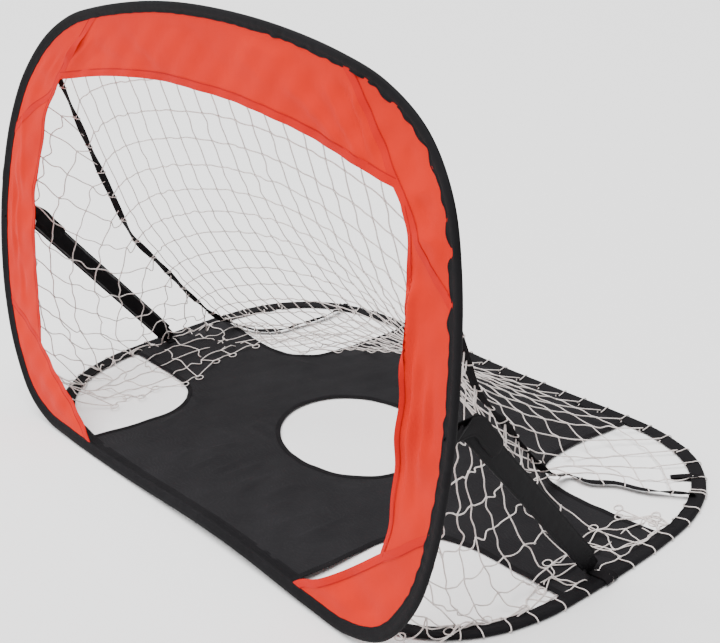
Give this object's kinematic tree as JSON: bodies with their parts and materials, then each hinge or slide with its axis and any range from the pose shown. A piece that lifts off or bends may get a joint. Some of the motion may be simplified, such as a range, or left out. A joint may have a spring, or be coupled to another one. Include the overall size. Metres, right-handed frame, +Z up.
{
  "type": "pop-up target goal",
  "caption": "Fold-flat training goal: two sprung-wire hoops in fabric sleeves, red mouth facing, white net, side struts and a holed target sheet on the floor.",
  "frame": {"origin": "middle of the footprint, on the floor", "axes": "+X to the right as seen by a shooter facing the mouth, +Y from the mouth to the rear of the base, +Z up"},
  "size_m": [1.1316, 0.7945, 0.7665],
  "materials": {
    "sleeve_black": "matte woven",
    "sheet_black": "matte woven",
    "binding_black": "matte woven tape",
    "webbing_black": "ribbed webbing",
    "strut_black": "matte woven",
    "panel_red": "satin polyester",
    "corner_red": "satin polyester",
    "spring_steel": "drawn",
    "ferrule_steel": "crimped",
    "batten_plastic": "matte",
    "net_white": "knotted cord"
  },
  "bodies": {
    "base": {"base_hoop_wire": "spring_steel", "base_hoop_ferrule": "ferrule_steel", "base_sleeve": "sleeve_black", "target_sheet": "sheet_black", "binding_centre": "binding_black", "binding_front_left": "binding_black", "binding_front_right": "binding_black", "binding_rear_left": "binding_black", "binding_rear_right": "binding_black", "seam_tape": "binding_black", "strut_anchor_left": "webbing_black", "strut_anchor_right": "webbing_black", "base_loop_tab": "webbing_black"},
    "front_frame": {"front_hoop_wire": "spring_steel", "front_hoop_ferrule": "ferrule_steel", "front_sleeve": "sleeve_black", "top_panel": "panel_red", "side_panel_left": "panel_red", "side_panel_right": "panel_red", "top_corner_left": "corner_red", "top_corner_right": "corner_red", "bottom_corner_left": "panel_red", "bottom_corner_right": "panel_red", "strut_tab_left": "webbing_black", "strut_tab_right": "webbing_black", "net_back": "net_white", "net_side_left": "net_white", "net_side_right": "net_white", "ridge_strap_left": "webbing_black", "ridge_strap_right": "webbing_black"},
    "strut_left": {"strut_sleeve_left": "strut_black", "strut_batten_left": "batten_plastic", "strut_tail_left": "webbing_black"},
    "strut_right": {"strut_sleeve_right": "strut_black", "strut_batten_right": "batten_plastic", "strut_tail_right": "webbing_black"}
  },
  "joints": [
    {"name": "front_fold", "type": "hinge", "parent": "base", "child": "front_frame", "pos_m": [0, -0.38657, 0.0094], "axis": [-1, 0, 0], "range_deg": [0, 79], "deforming": ["net_back", "net_side_left", "net_side_right", "ridge_strap_left", "ridge_strap_right", "strut_tab_left", "strut_tab_right"]},
    {"name": "strut_left_fold", "type": "hinge", "parent": "base", "child": "strut_left", "pos_m": [-0.537, -0.03337, 0.012], "axis": [-0.6162, 0.4865, 0.6193], "range_deg": [0, 126.8]},
    {"name": "strut_right_fold", "type": "hinge", "parent": "base", "child": "strut_right", "pos_m": [0.537, -0.03337, 0.012], "axis": [-0.6162, -0.4865, -0.6193], "range_deg": [0, 126.8]}
  ],
  "couplings": [
    {"joint": "strut_left_fold", "follows": "front_fold", "ratio": 1.6042},
    {"joint": "strut_right_fold", "follows": "front_fold", "ratio": 1.6042}
  ]
}
